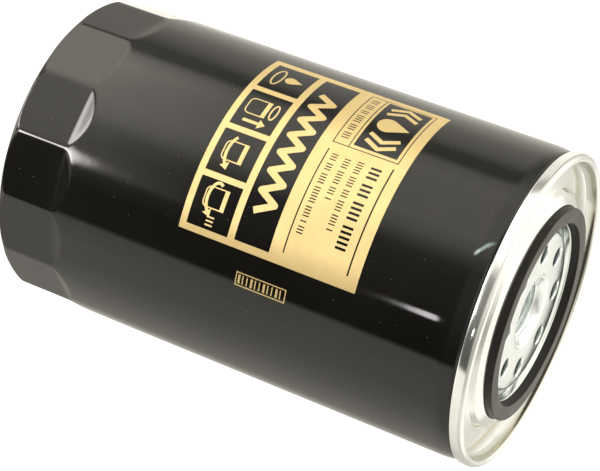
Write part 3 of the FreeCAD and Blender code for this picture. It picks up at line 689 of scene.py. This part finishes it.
def coil(name, coil_radius, wire_radius, foot, top, turns):
    """A coil spring along Z with closed end coils."""
    steps = round(turns * TURN_STEPS)
    vertices = []
    rise = top - foot - 2 * wire_radius
    for step in range(steps + 1):
        along = turns * step / steps
        lift = min(max((along - CLOSED_TURNS) / (turns - 2 * CLOSED_TURNS), 0.0), 1.0)
        z = foot + wire_radius + rise * lift
        angle = along * 2 * math.pi
        for corner in range(WIRE_SIDES):
            around = 2 * math.pi * corner / WIRE_SIDES
            r = coil_radius + wire_radius * math.cos(around)
            vertices.append((r * math.cos(angle), r * math.sin(angle), z + wire_radius * math.sin(around)))
    faces = []
    for first in range(0, steps * WIRE_SIDES, WIRE_SIDES):
        for corner in range(WIRE_SIDES):
            following = (corner + 1) % WIRE_SIDES
            faces.append((first + corner, first + WIRE_SIDES + corner,
                          first + WIRE_SIDES + following, first + following))
    faces.append(tuple(range(WIRE_SIDES)))
    faces.append(tuple(range(steps * WIRE_SIDES, (steps + 1) * WIRE_SIDES)))
    return new_object(name, vertices, faces, sharp_angle=50)


def make_springs(material):
    """The spring under the element and the bypass valve's spring."""
    low, high = -171.9, -158.8
    hold_down = coil("hold_down_spring", coil_radius=28.0, wire_radius=1.3, foot=low, top=high, turns=2.5)
    finish_piece(hold_down, "canister", material, "spring_steel", "element_spring")
    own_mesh(hold_down)
    low, high = -153.9, -136.5
    relief = coil("relief_spring", coil_radius=6.5, wire_radius=0.6, foot=low, top=high, turns=6)
    finish_piece(relief, "element", material, "spring_steel", "bypass_spring")
    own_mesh(relief)


# ---------------------------------------------------------------- printed panel

# The print is laid out flat: along is the arc from the panel's first edge, across is the height z.
PRINT_RADIUS = CAN_RADIUS
PRINT_DEPTH = 0.02
PRINT_FILM = 0.03
PRINT_SLICE = 1.2

# Azimuths are in degrees round the can, and feet and tops are heights.
PANEL_START = 206.0
PANEL_END = 285.3
PANEL_FOOT = -106.0
PANEL_TOP = -43.4
CELLS = [(209.2, 226.0), (228.3, 245.1), (247.3, 263.5), (265.7, 282.9)]
CELL_FOOT = -103.75
CELL_TOP = -88.95
EMBLEM_START = 209.6
EMBLEM_END = 237.0
EMBLEM_FOOT = -63.3
EMBLEM_TOP = -48.2


def arc(azimuth):
    return math.radians(azimuth - PANEL_START) * PRINT_RADIUS


def patch(start, foot, end, top):
    """A rectangle of the print as (along0, across0, along1, across1)."""
    return arc(start), foot, arc(end), top


def print_film(name, vertices, faces, material):
    """Wraps a flat region of (along, across) round the can as a thin closed film."""
    made = bmesh.new()
    corners = [made.verts.new((along, across, 0)) for along, across in vertices]
    for face in faces:
        made.faces.new([corners[index] for index in face])
    bmesh.ops.remove_doubles(made, verts=made.verts, dist=1e-4)
    low = min(v.co.x for v in made.verts)
    high = max(v.co.x for v in made.verts)
    slices = math.ceil((high - low) / PRINT_SLICE)
    for index in range(1, slices):
        where = low + (high - low) * index / slices
        bmesh.ops.bisect_plane(made, geom=made.verts[:] + made.edges[:] + made.faces[:], dist=1e-4,
                               plane_co=(where, 0, 0), plane_no=(1, 0, 0))
    bmesh.ops.delete(made, geom=[vertex for vertex in made.verts if not vertex.link_faces], context="VERTS")
    made.verts.index_update()
    count = len(made.verts)
    flat = [tuple(vertex.co) for vertex in made.verts]
    underside = [[vertex.index for vertex in face.verts] for face in made.faces]
    rims = [[vertex.index for vertex in edge.verts] for edge in made.edges if edge.is_boundary]
    made.free()
    wrapped = []
    for radius in (PRINT_RADIUS - PRINT_DEPTH, PRINT_RADIUS + PRINT_FILM):
        for along, across, _ in flat:
            angle = math.radians(PANEL_START) + along / PRINT_RADIUS
            wrapped.append((radius * math.cos(angle), radius * math.sin(angle), across))
    top = [[index + count for index in face] for face in underside]
    sides = [(a, b, b + count, a + count) for a, b in rims]
    film = new_object(name, wrapped, underside + top + sides, sharp_angle=30)
    finish_piece(film, "canister", material, "can_paint")


def sheet_with_holes(outer, holes):
    """A rectangle less some rectangles, as quads on the grid of their edges."""
    columns = sorted({outer[0], outer[2]} | {h[0] for h in holes} | {h[2] for h in holes})
    rows = sorted({outer[1], outer[3]} | {h[1] for h in holes} | {h[3] for h in holes})
    vertices = [(along, across) for across in rows for along in columns]
    faces = []
    for row in range(len(rows) - 1):
        for column in range(len(columns) - 1):
            middle = ((columns[column] + columns[column + 1]) / 2, (rows[row] + rows[row + 1]) / 2)
            if any(h[0] < middle[0] < h[2] and h[1] < middle[1] < h[3] for h in holes):
                continue
            first = row * len(columns) + column
            faces.append((first, first + 1, first + 1 + len(columns), first + len(columns)))
    return vertices, faces


def union(polygons):
    """The triangles of the area that any of the polygons covers."""
    points = [Vector(p) for polygon in polygons for p in polygon]
    faces = []
    first = 0
    for polygon in polygons:
        indices = list(range(first, first + len(polygon)))
        area = sum(a[0] * b[1] - b[0] * a[1] for a, b in zip(polygon, polygon[1:] + polygon[:1]))
        faces.append(indices if area > 0 else indices[::-1])
        first += len(polygon)
    result = delaunay_2d_cdt(points, [], faces, 1, 1e-5)
    covered = [tuple(face) for face, owners in zip(result[2], result[5]) if owners]
    return [tuple(v) for v in result[0]], covered


def stroke(points, width, closed=False):
    """A line of even width as one four-sided polygon for each segment, with small discs at the bends."""
    pairs = list(zip(points, points[1:] + points[:1])) if closed else list(zip(points, points[1:]))
    polygons = []
    for a, b in pairs:
        a, b = Vector(a), Vector(b)
        side = (b - a).normalized()
        side = Vector((-side.y, side.x)) * (width / 2)
        polygons.append([tuple(a - side), tuple(b - side), tuple(b + side), tuple(a + side)])
    bends = points if closed else points[1:-1]
    polygons += [disc(bend, width / 2, 12) for bend in bends]
    return polygons


def disc(centre, radius, corners=32, squeeze=1.0):
    return [(centre[0] + radius * math.cos(2 * math.pi * i / corners),
             centre[1] + radius * squeeze * math.sin(2 * math.pi * i / corners)) for i in range(corners)]


def bend_line(centre, radius, start, end, squeeze=1.0, steps=18):
    return [(centre[0] + radius * math.cos(math.radians(start + (end - start) * i / steps)),
             centre[1] + radius * squeeze * math.sin(math.radians(start + (end - start) * i / steps)))
            for i in range(steps + 1)]


def drop_shape(centre, height):
    """An oil drop, point up, as (along, across) points."""
    radius = height * 0.31
    low = (centre[0], centre[1] - height / 2 + radius)
    side = bend_line(low, radius, -205, 25, steps=26)
    return side + [(centre[0], centre[1] + height / 2)]


def can_sketch(centre, width, height):
    """A small canister on its round end: outline and a solid band at its open end."""
    corner, line, band = 1.6, 0.4, 1.5
    left, right = centre[0] - width / 2, centre[0] + width / 2
    foot, top = centre[1] - height / 2, centre[1] + height / 2
    side = bend_line((left + corner, foot + corner), corner, 180, 270, steps=5)
    other = bend_line((right - corner, foot + corner), corner, 270, 360, steps=5)
    start, end = left - line / 2, right + line / 2
    solid = [(start, top - band), (end, top - band), (end, top), (start, top)]
    return stroke([(left, top)] + side + other + [(right, top)], line) + [solid]


def arrow(points, width, head):
    """A stroked line with a solid head at its end."""
    tip, back = Vector(points[-1]), Vector(points[-2])
    ahead = (tip - back).normalized()
    side = Vector((-ahead.y, ahead.x))
    wing = side * head * 0.75
    return stroke(points, width) + [[tuple(tip + ahead * head), tuple(tip + wing), tuple(tip - wing)]]


def hatching(start, end, foot, top, width, gap, groups):
    """Upright strokes between two azimuths, with a wider gap after each group. Every seven strokes the next
    group size takes over."""
    marks = []
    along = arc(start)
    while along + width <= arc(end):
        marks.append((along, foot, along + width, top))
        along += width + gap
        if len(marks) % groups[(len(marks) // 7) % len(groups)] == 0:
            along += gap * 1.4
    return marks


def frame_lines(outer, width):
    """Four thin rectangles just inside a rectangle's edges."""
    a0, c0, a1, c1 = outer
    return [(a0, c0, a1, c0 + width), (a0, c1 - width, a1, c1),
            (a0, c0 + width, a0 + width, c1 - width), (a1 - width, c0 + width, a1, c1 - width)]


def make_panel(gold):
    """The framed panel, open where the can shows through: cells, emblem box, rules and plain hatching."""
    holes = [patch(start, CELL_FOOT, end, CELL_TOP) for start, end in CELLS]
    holes.append(patch(209.2, -86.5, 282.6, -74.1))
    holes.append(patch(EMBLEM_START, EMBLEM_FOOT, EMBLEM_END, EMBLEM_TOP))
    outline_width = 0.35
    left, foot, right, top = patch(208.6, -69.95, 238.6, -46.9)
    holes += frame_lines((left, foot, right, top), outline_width)
    holes.append((left + outline_width, -64.55, right - outline_width, -64.55 + outline_width))
    holes.append(patch(241.5, -69.8, 280.9, -69.35))
    holes.append(patch(240.9, -47.65, 280.6, -47.1))
    holes += hatching(211.2, 236.6, -68.5, -65.9, 0.42, 0.62, (3, 4))
    holes += hatching(242.9, 274.8, -67.7, -65.5, 0.4, 0.58, (3, 5, 4))
    holes += hatching(243.2, 259.4, -63.2, -61.0, 0.4, 0.58, (4, 3))
    holes += hatching(242.6, 269.5, -58.8, -56.6, 0.4, 0.58, (5, 3, 4))
    holes += hatching(242.9, 275.8, -54.1, -50.4, 0.85, 0.85, (3, 5))
    vertices, faces = sheet_with_holes(patch(PANEL_START, PANEL_FOOT, PANEL_END, PANEL_TOP), holes)
    print_film("printed_panel", vertices, faces, gold)


def make_pictograms(gold):
    """One in each cell: oil a ring, offer the can up, turn it, turn it further."""
    middle = (CELL_FOOT + CELL_TOP) / 2
    oil, fit, turn, tighten = ((arc(start) + arc(end)) / 2 for start, end in CELLS)
    shapes = [drop_shape((oil, middle + 2.0), 6.2)]
    shapes += stroke(bend_line((oil, middle - 3.6), 4.6, 0, 350, 0.34, 36), 0.6, closed=True)
    print_film("pictogram_oil", *union(shapes), gold)

    shapes = can_sketch((fit - 1.0, middle - 1.6), 6.4, 7.4)
    shapes += stroke(bend_line((fit - 1.0, middle + 4.2), 3.1, 0, 350, 0.34, 30), 0.55, closed=True)
    shapes += arrow([(fit + 5.0, middle - 4.0), (fit + 5.0, middle + 1.6)], 1.1, 2.4)
    print_film("pictogram_fit", *union(shapes), gold)

    shapes = can_sketch((turn - 0.6, middle - 0.6), 6.6, 7.6)
    shapes += arrow(bend_line((turn - 0.6, middle - 1.0), 5.2, 200, 330, 0.42, 14), 1.0, 2.2)
    print_film("pictogram_turn", *union(shapes), gold)

    shapes = can_sketch((tighten - 2.2, middle - 0.2), 6.6, 7.8)
    shapes += arrow(bend_line((tighten - 2.2, middle - 0.6), 5.0, 150, 330, 0.5, 18), 1.0, 2.2)
    foot, top = middle - 1.2, middle + 1.4
    for step in range(3):
        left = tighten + 3.6 + 1.3 * step
        right = left + 0.55
        shapes.append([(left, foot), (right, foot), (right, top), (left, top)])
    print_film("pictogram_tighten", *union(shapes), gold)


def make_pleat_line(gold):
    """The bold pleat line that fills the dark column."""
    teeth = 7
    low, high = -83.4, -77.2
    start, end = arc(219.6), arc(271.0)
    line = []
    for tooth in range(teeth):
        line.append((start + (end - start) * tooth / teeth, low))
        line.append((start + (end - start) * (tooth + 0.5) / teeth, high))
    line.append((end, low))
    print_film("printed_pleats", *union(stroke(line, 2.2)), gold)


def make_emblem(gold):
    """A drop between two pairs of chevrons, on the dark box."""
    centre = (arc(EMBLEM_START) + arc(EMBLEM_END)) / 2
    middle = (EMBLEM_FOOT + EMBLEM_TOP) / 2
    half_height, point = 5.2, 2.6
    emblem = [drop_shape((centre, middle), 11.0)]
    for side in (-1, 1):
        for step in range(2):
            at = centre + side * (5.6 + 3.1 * step)
            chevron = [(at, middle - half_height), (at + side * point, middle), (at, middle + half_height)]
            emblem += stroke(chevron, 1.5)
    print_film("printed_emblem", *union(emblem), gold)


def make_tally(gold):
    """The small outlined box of strokes beside the panel."""
    box = patch(292.7, -83.1, 297.8, -65.3)
    marks = frame_lines(box, 0.38)
    margin = 0.85
    for step in range(11):
        foot = -82.2 + 1.48 * step
        width = 0.42 if step % 3 else 0.75
        marks.append((box[0] + margin, foot, box[2] - margin, foot + width))
    vertices, faces = [], []
    for a0, c0, a1, c1 in marks:
        first = len(vertices)
        vertices += [(a0, c0), (a1, c0), (a1, c1), (a0, c1)]
        faces.append((first, first + 1, first + 2, first + 3))
    print_film("printed_tally", vertices, faces, gold)


# ---------------------------------------------------------------- world, floor and camera

# The gasket's centre in millimetres to the right of, below and ahead of the camera, the filter's axis as two
# angles in radians, and the lens for its field of view.
SEAL_CENTRE = Vector((76.51, 25.42, 649.88))
AXIS_TURN = 0.361
AXIS_LEAN = 0.366
SENSOR_WIDTH = 36.0
LENS = 122.352


def make_camera():
    """The camera at the photographed angle: the filter's axis runs from upper left to lower right."""
    axis = Vector((math.cos(AXIS_LEAN) * math.cos(AXIS_TURN), math.cos(AXIS_LEAN) * math.sin(AXIS_TURN),
                   -math.sin(AXIS_LEAN)))
    row_x = -axis.cross(Vector((0, 0, 1))).normalized()
    row_y = axis.cross(row_x)
    to_row = Matrix((row_x, row_y, axis))
    camera = bpy.data.objects.new("camera", bpy.data.cameras.new("camera"))
    bpy.context.scene.collection.objects.link(camera)
    camera.data.sensor_width = SENSOR_WIDTH
    camera.data.lens = LENS
    camera.data.clip_start = 0.01
    camera.data.clip_end = 10
    turn = to_row @ Matrix.Diagonal((1, -1, -1))
    camera.matrix_world = Matrix.Translation(to_row @ -SEAL_CENTRE * MM) @ turn.to_4x4()
    bpy.context.scene.camera = camera


def ramp(tree, value, stops):
    """A brightness over azimuth in degrees, from stops of (azimuth, brightness); 0 and 360 are alike."""
    stops = [(0, stops[0][1])] + list(stops) + [(360, stops[0][1])]
    brightest = max(level for _, level in stops)
    made = node(tree, "ShaderNodeValToRGB", {"Fac": value})
    elements = made.color_ramp.elements
    while len(elements) < len(stops):
        elements.new(0.5)
    for element, (azimuth, level) in zip(elements, stops):
        element.position = azimuth / 360
        element.color = (level / brightest,) * 3 + (1,)
    return maths(tree, "MULTIPLY", made.outputs["Color"], brightest)


def elevation(degrees):
    return math.sin(math.radians(degrees))


def spot(tree, direction, azimuth, height, across, along, level, tint, turn):
    """A soft oval light in the tent, by its azimuth, elevation, half widths and turn, all in degrees."""
    azimuth, tilt = math.radians(azimuth), math.radians(turn)
    flat = math.cos(math.radians(height))
    middle = Vector((math.cos(azimuth) * flat, math.sin(azimuth) * flat, elevation(height)))
    side = Vector((-math.sin(azimuth), math.cos(azimuth), 0))
    upward = middle.cross(side)
    first = (side * math.cos(tilt) + upward * math.sin(tilt)) / math.sin(math.radians(across))
    second = (upward * math.cos(tilt) - side * math.sin(tilt)) / math.sin(math.radians(along))
    dots = [node(tree, "ShaderNodeVectorMath", {0: direction, 1: tuple(axis)}, operation="DOT_PRODUCT")
            for axis in (first, second, middle)]
    first, second, ahead = (dot.outputs["Value"] for dot in dots)
    spread = maths(tree, "ADD", maths(tree, "POWER", first, 2.0), maths(tree, "POWER", second, 2.0))
    inside = between(tree, spread, 0.35, 1.3, 1, 0)
    amount = maths(tree, "MULTIPLY", inside, maths(tree, "GREATER_THAN", ahead, 0.0))
    strength = maths(tree, "MULTIPLY", amount, level)
    return node(tree, "ShaderNodeBackground", {"Color": (*tint, 1), "Strength": strength}).outputs[0]


def make_world():
    """A white light tent with a tall dark opening on the camera's side and bright lamps towards the table.
    Each ramp is the tent's brightness round one band of heights."""
    world = bpy.data.worlds.new("light_tent")
    bpy.context.scene.world = world
    world.use_nodes = True
    tree = world.node_tree
    tree.nodes.clear()
    output = tree.nodes.new("ShaderNodeOutputWorld")
    direction = node(tree, "ShaderNodeTexCoord").outputs["Generated"]
    parts = node(tree, "ShaderNodeSeparateXYZ", {"Vector": direction})
    angle = maths(tree, "ARCTAN2", parts.outputs["Y"], parts.outputs["X"])
    share = maths(tree, "WRAP", maths(tree, "DIVIDE", angle, 2 * math.pi), 1.0, 0.0)
    above = ramp(tree, share, [
        (15, 0.9), (30, 1.1), (60, 1.25), (105, 1.35), (210, 1.4), (225, 1.35), (240, 1.2), (255, 1.0),
        (285, 0.78), (300, 0.6), (315, 0.45), (330, 0.5), (345, 0.65),
    ])
    middle = ramp(tree, share, [
        (15, 0.8), (45, 0.68), (82, 0.74), (87, 0.98), (93, 0.98), (99, 0.76), (120, 0.9), (150, 1.1),
        (210, 1.1), (225, 0.98), (240, 0.8), (255, 0.68), (285, 0.55), (300, 0.5), (315, 0.45), (330, 0.6),
        (345, 0.75),
    ])
    rim = ramp(tree, share, [
        (0, 0.9), (12, 0.75), (28, 0.65), (45, 0.65), (85, 0.75), (113, 0.6), (128, 0.55), (141, 0.49),
        (163, 0.46), (172, 0.6), (180, 0.8), (190, 1.3), (200, 1.5), (236, 1.5), (246, 1.1), (254, 0.65),
        (259, 0.45), (270, 0.4), (284, 0.36), (300, 0.22), (315, 0.1), (324, 0.1), (327, 1.02), (345, 1.05),
    ])
    level = ramp(tree, share, [
        (10, 1.0), (30, 0.9), (55, 0.6), (70, 0.75), (90, 0.95), (108, 1.1), (122, 1.1), (140, 1.05),
        (150, 0.92), (160, 0.95), (168, 0.85), (176, 0.4), (184, 0.42), (190, 1.35), (200, 1.7), (236, 1.75),
        (246, 1.25), (254, 0.6), (259, 0.3), (270, 0.2), (284, 0.17), (300, 0.08), (324, 0.06), (327, 1.05),
        (345, 1.1),
    ])
    lower = ramp(tree, share, [
        (10, 1.0), (30, 0.9), (55, 0.6), (70, 0.9), (92, 1.7), (108, 1.6), (122, 1.02), (140, 1.02),
        (150, 0.97), (162, 0.85), (174, 0.55), (184, 0.7), (190, 2.2), (200, 3.2), (232, 2.9), (244, 2.5),
        (255, 1.5), (266, 1.2), (283, 1.2), (288, 0.35), (300, 0.12), (324, 0.12), (327, 1.05), (345, 1.2),
    ])
    table = ramp(tree, share, [
        (10, 1.0), (45, 0.8), (60, 0.8), (80, 2.2), (108, 2.2), (122, 1.0), (138, 0.65), (153, 0.6),
        (165, 1.8), (185, 2.5), (205, 2.6), (216, 2.2), (226, 1.8), (234, 0.9), (240, 0.2), (246, 0.4),
        (255, 1.2), (268, 1.6), (283, 1.6), (292, 3.2), (299, 1.4), (306, 0.2), (322, 0.1), (328, 1.6),
        (345, 1.7),
    ])
    # each layer takes over from those before it between two elevations
    layers = [(-23.5, -27.5, lower), (-30, -44, table), (-58, -61.5, 0.55), (-72, -82, 3.0),
              (-11, -6, rim), (2, 7, middle), (17, 23, above)]
    whole = level
    for start, end, layer in layers:
        amount = between(tree, parts.outputs["Z"], elevation(start), elevation(end), 0, 1)
        whole = node(tree, "ShaderNodeMix", {0: amount, 2: whole, 3: layer}, data_type="FLOAT").outputs[0]
    tent = node(tree, "ShaderNodeBackground", {"Color": (1.0, 0.955, 0.85, 1), "Strength": whole}).outputs[0]
    lamps = [
        spot(tree, direction, 241.3, -5.4, 8.0, 1.6, level=9, tint=(0.78, 1.0, 0.86), turn=135),
        spot(tree, direction, 245.4, -10.0, 3.2, 1.8, level=8, tint=(0.9, 1.0, 0.93), turn=135),
        spot(tree, direction, 297, -16.8, 2.0, 0.7, level=15, tint=(1.0, 0.95, 0.97), turn=0),
        spot(tree, direction, 281, -31.2, 6.5, 3.6, level=24, tint=(1.0, 0.96, 0.95), turn=0),
        spot(tree, direction, 256, -47, 8.0, 12.5, level=12, tint=(1.0, 0.96, 0.95), turn=0),
    ]
    for lamp in lamps:
        tent = node(tree, "ShaderNodeAddShader", {0: tent, 1: lamp}).outputs[0]
    tree.links.new(tent, output.inputs["Surface"])


def make_floor():
    """A plain white floor under the closed end, seen by the camera only and from above only."""
    clearance = 0.1
    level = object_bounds()[0].z / MM - clearance
    half = 6000
    floor = new_object("floor", [(-half, -half, level), (half, -half, level), (half, half, level),
                                 (-half, half, level)], [(0, 1, 2, 3)])
    material, tree, shader = new_material("white_floor")
    shader.inputs["Base Color"].default_value = (0.9, 0.9, 0.9, 1)
    shader.inputs["Emission Color"].default_value = (1, 1, 1, 1)
    shader.inputs["Emission Strength"].default_value = 1.0
    output = next(item for item in tree.nodes if item.bl_idname == "ShaderNodeOutputMaterial")
    below = node(tree, "ShaderNodeNewGeometry").outputs["Backfacing"]
    see_through = node(tree, "ShaderNodeBsdfTransparent").outputs[0]
    sides = node(tree, "ShaderNodeMixShader", {0: below, 1: shader.outputs[0], 2: see_through})
    tree.links.new(sides.outputs[0], output.inputs["Surface"])
    floor.data.materials.append(material)
    floor.visible_glossy = False
    floor.visible_diffuse = False
    floor.visible_shadow = False


def main():
    bpy.context.scene.view_settings.view_transform = "Standard"
    enamel = enamel_material()
    plating = plated_material("bright_plating", (0.93, 0.99, 1.0), 1.0, 0.15, 0.23)
    # the seam plating carries painted shade: an olive-grey ring on the seam's inner wall inside the channel
    seam_plating = plated_material("seam_plating", (0.91, 0.935, 0.92), 0.95, 0.07, 0.13,
                                   stain_and_shade=(50.1, 52.1, -2.3, (0.52, 0.49, 0.37)))
    gasket_rubber = rubber_material("gasket_rubber", (0.006, 0.0045, 0.004), (0.018, 0.014, 0.011), 0.38, 0.4)
    valve_rubber = rubber_material("valve_rubber", (0.03, 0.022, 0.018), (0.06, 0.045, 0.036), 0.55)
    by_slot = {
        "can_paint": enamel,
        "plated_steel": plating,
        "gasket_rubber": gasket_rubber,
        "valve_rubber": valve_rubber,
        "seam_rubber": rubber_material("seam_compound", (0.25, 0.23, 0.2), (0.35, 0.33, 0.3), 0.7),
        "adhesive": adhesive_material(),
        "filter_paper": paper_material(),
        "spring_steel": wire_material(),
    }
    for part in frame["record"]["subparts"]:
        mesh = frame["nodes"][part["node"]].data
        mesh.materials.clear()
        mesh.materials.append(by_slot[part["material_slot"]])
    make_can(enamel)
    make_lid(seam_plating)
    make_gasket(gasket_rubber)
    make_plate(plating)
    make_valve(valve_rubber)
    make_springs(by_slot["spring_steel"])
    gold = gold_ink_material()
    for make in (make_panel, make_pictograms, make_pleat_line, make_emblem, make_tally):
        make(gold)
    make_floor()
    make_world()
    make_camera()


main()
